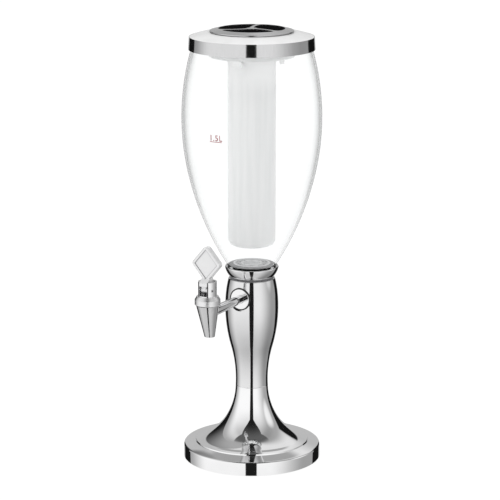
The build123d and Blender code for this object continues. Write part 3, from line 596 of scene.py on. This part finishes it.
# camera: 2.36 m away, seen from a little to the right of the tap
view = {
    "azimuth": 29.0,
    "pitch": 13.25,
    "distance": 2.356,
    "height": 0.7975,
    "aside": -0.00204,
    "lens": 154.08,
    "sensor": 36.0,
    "seesTo": 100.0,
}
turn = math.radians(view["azimuth"])
toRight = (math.cos(turn), math.sin(turn), 0.0)
toCamera = (math.sin(turn), -math.cos(turn), 0.0)
cameraAt = [view["distance"] * front + view["aside"] * right for front, right in zip(toCamera, toRight)]
cameraAt[2] = view["height"]
bpy.ops.object.select_all(action="DESELECT")
bpy.ops.object.camera_add(location=cameraAt, rotation=(math.radians(90 - view["pitch"]), 0, turn))
camera = bpy.context.object
camera.data.lens = view["lens"]
camera.data.sensor_width = view["sensor"]
camera.data.clip_end = view["seesTo"]
scene.camera = camera
print("camera placed")

# studio as mirrors see it, in degrees round the tower (0 in front, + to the right) and above the horizon
# ahead and across go from -1 to 1: towards the front, and to the right
studio = {
    "leftPanel": {"dim": 0.40, "bright": 0.99, "around": (-128, -80)},
    "rightPanel": {"bright": 0.99, "dim": 0.38, "around": (28, 100)},
    "panelSeam": 0.02,
    "panelFade": {"share": 0.45, "rise": (14, 64), "ahead": (-0.3, 0.2)},
    "panelTop": {"rise": 64.5, "opensBehind": (110, 128)},
    "low": {"level": 0.62, "rise": (-50, -8)},
    "lamp": {"around": 91, "rise": 19, "reach": 24, "level": 0.5},
    "rightWall": {"level": 0.78, "around": (112, 150), "rise": (20, 36)},
    "backdrop": {"low": 0.5, "rightLift": 0.28, "rightRise": (20, 40), "leftLift": 0.2, "leftRise": (36, 46)},
    "overhead": {"left": 0.42, "right": 0.78, "across": (-0.1, 0.15), "ahead": (-0.45, 0.0)},
    "band": {"aimRise": 18.7, "tilt": (16.9, 20.7), "soft": 0.5, "rise": (38, 46), "level": 0.37},
    "leftFlag": {"around": (-160, -128), "fade": (10, 64)},
    "rightFlag": {"around": (126, 160), "fade": (26, 30)},
    "flagLevel": 0.008,
    "edgeSoft": 1.0,
    "gap": {"half": 9.4, "aside": -1.1, "soft": 0.7, "widensFrom": 37, "spread": 1.75},
    "gapLevel": {"front": 0.012, "top": 0.11, "ahead": (0.1, 0.75)},
    "softLevel": 0.86,
}
edgeSoft = studio["edgeSoft"]
world = bpy.data.worlds.new("studio")
scene.world = world
world.use_nodes = True
sky = Graph(world.node_tree)
heading = sky.node("TexCoord", output="Generated")
across = sky.node("VectorMath", {"operation": "DOT_PRODUCT"}, {0: heading, 1: toRight}, output="Value")
ahead = sky.node("VectorMath", {"operation": "DOT_PRODUCT"}, {0: heading, 1: toCamera}, output="Value")
upward = sky.axes(heading)[2]
degrees = 180 / math.pi
around = across.math("ARCTAN2", across, ahead) * degrees
rise = upward.math("ARCSINE", upward) * degrees
onRight = across.past(0, studio["panelSeam"])

# two tall panels, bright in front and dimmer towards the back, high up and low down, and a soft lamp on the right
left, right = studio["leftPanel"], studio["rightPanel"]
leftLevel = between(around.smooth(*left["around"]), left["dim"], left["bright"])
rightLevel = between(around.smooth(*right["around"]), right["bright"], right["dim"])
panels = between(onRight, leftLevel, rightLevel)
fade = studio["panelFade"]
panels = panels * (1 - fade["share"] * rise.smooth(*fade["rise"]) * ahead.smooth(*fade["ahead"]))
low = studio["low"]
panels = panels * between(rise.smooth(*low["rise"]), low["level"], 1.0)
lamp = studio["lamp"]
lampAside = around - lamp["around"]
lampAbove = rise - lamp["rise"]
lampAway = lampAside * lampAside + lampAbove * lampAbove
panels = panels + lamp["level"] * (1 - lampAway.smooth(0, lamp["reach"] ** 2))

# behind the tower: grey low down, and paler higher up, most of all on the right
rightWall = studio["rightWall"]
onRightWall = around.smooth(*rightWall["around"]) * rise.smooth(*rightWall["rise"])
panels = between(onRightWall, panels, rightWall["level"])
leftFlag, rightFlag = studio["leftFlag"], studio["rightFlag"]
behindLeft = 1 - around.past(leftFlag["around"][0], edgeSoft)
behindRight = around.past(rightFlag["around"][1], edgeSoft)
backdrop = studio["backdrop"]
backLevel = backdrop["low"] + backdrop["rightLift"] * rise.smooth(*backdrop["rightRise"]) * onRight
backLevel = backLevel + backdrop["leftLift"] * rise.smooth(*backdrop["leftRise"]) * (1 - onRight)
sides = between(behindLeft + behindRight, panels, backLevel)

# a dark curved band, which the sloped rim of the base mirrors towards the front
darkBand = studio["band"]
aimRise = math.radians(darkBand["aimRise"])
aim = (toCamera[0] * math.cos(aimRise), toCamera[1] * math.cos(aimRise), math.sin(aimRise))
halfWay = sky.node("VectorMath", {"operation": "ADD"}, {0: heading, 1: aim})
halfWay = sky.axes(sky.node("VectorMath", {"operation": "NORMALIZE"}, {0: halfWay}))[2]
tilt = halfWay.math("ARCCOSINE", halfWay) * degrees
inBand = tilt.inside(*darkBand["tilt"], darkBand["soft"]) * rise.smooth(*darkBand["rise"])
sides = between(inBand, sides, darkBand["level"])

# black flags at both sides, which give the chrome its dark edges
for flag in (leftFlag, rightFlag):
    onFlag = around.inside(*flag["around"], edgeSoft) * (1 - rise.smooth(*flag["fade"]))
    sides = between(onFlag, sides, studio["flagLevel"])

# dark gap between the panels, which widens to the whole of the ceiling
gap = studio["gap"]
aboveGap = rise - gap["widensFrom"]
gapHalf = gap["half"] + gap["spread"] * aboveGap.math("MAXIMUM", aboveGap, 0.0)
besideGap = (abs(around - gap["aside"]) - gapHalf).past(0, gap["soft"])
panelTop = studio["panelTop"]
overPanels = rise.past(panelTop["rise"], edgeSoft) * (1 - abs(around).smooth(*panelTop["opensBehind"]))
inGap = 1 - besideGap * (1 - overPanels)
gapLook, overhead = studio["gapLevel"], studio["overhead"]
gapLevel = between(ahead.smooth(*gapLook["ahead"]), gapLook["top"], gapLook["front"])
overheadLevel = between(across.smooth(*overhead["across"]), overhead["left"], overhead["right"])
gapLevel = between(ahead.smooth(*overhead["ahead"]), overheadLevel, gapLevel)
seen = between(inGap, sides, gapLevel)

# mirrors see the studio, dull surfaces get even light, and the camera sees white
mirrorRay, softRay = sky.rays("Glossy", "Diffuse")
level = seen * mirrorRay + studio["softLevel"] * softRay + (1 - mirrorRay) * (1 - softRay)
sky.tree.links.new(level.socket, sky.tree.nodes["Background"].inputs["Color"])
print("studio ready")

# pale floor: bright to the camera and through clear plastic, and it keeps the shadow
floorLook = {"size": 60.0, "glow": 0.9, "shade": (0.16, 0.16, 0.16, 1), "bounce": 0.5}
bpy.ops.object.select_all(action="DESELECT")
bpy.ops.mesh.primitive_plane_add(size=floorLook["size"])
floor = bpy.context.object
floor.name = "floor"
floorMaterial = bpy.data.materials.new("floorPaper")
floorMaterial.use_nodes = True
paper = Graph(floorMaterial.node_tree)
cameraRay, throughRay, bounceRay = paper.rays("Camera", "Transmission", "Diffuse")
paperLevel = floorLook["glow"] * (cameraRay + throughRay) + floorLook["bounce"] * bounceRay
glow = paper.node("Emission", {}, {"Strength": paperLevel})
shade = paper.node("BsdfDiffuse", {}, {"Color": floorLook["shade"]})
sheet = paper.node("AddShader", {}, {0: glow, 1: shade})
paper.tree.links.new(sheet.socket, paper.tree.nodes["Material Output"].inputs["Surface"])
floorMaterial.cycles.emission_sampling = "NONE"
floor.data.materials.append(floorMaterial)
floor.visible_glossy = False
print("floor laid")

# soft lamps, which mirrors see as the panels above
lamps = {
    "keyLamp": {"at": (-1.6, -1.8, 2.2), "size": 1.6, "watts": 13.0},
    "fillLamp": {"at": (2.2, -0.6, 1.6), "size": 1.8, "watts": 7.0},
}
lampsAimAt = (0.0, 0.0, 0.25)
for name, look in lamps.items():
    bpy.ops.object.light_add(type="AREA", location=look["at"])
    lampObject = bpy.context.object
    lampObject.name = name
    lampObject.data.size = look["size"]
    lampObject.data.energy = look["watts"]
    shine = [target - start for target, start in zip(lampsAimAt, look["at"])]
    lean = math.atan2(math.hypot(shine[0], shine[1]), -shine[2])
    lampObject.rotation_euler = (lean, 0.0, math.atan2(shine[0], -shine[1]) + math.pi)
    lampObject.visible_glossy = False
    lampObject.visible_camera = False
print("lights ready")
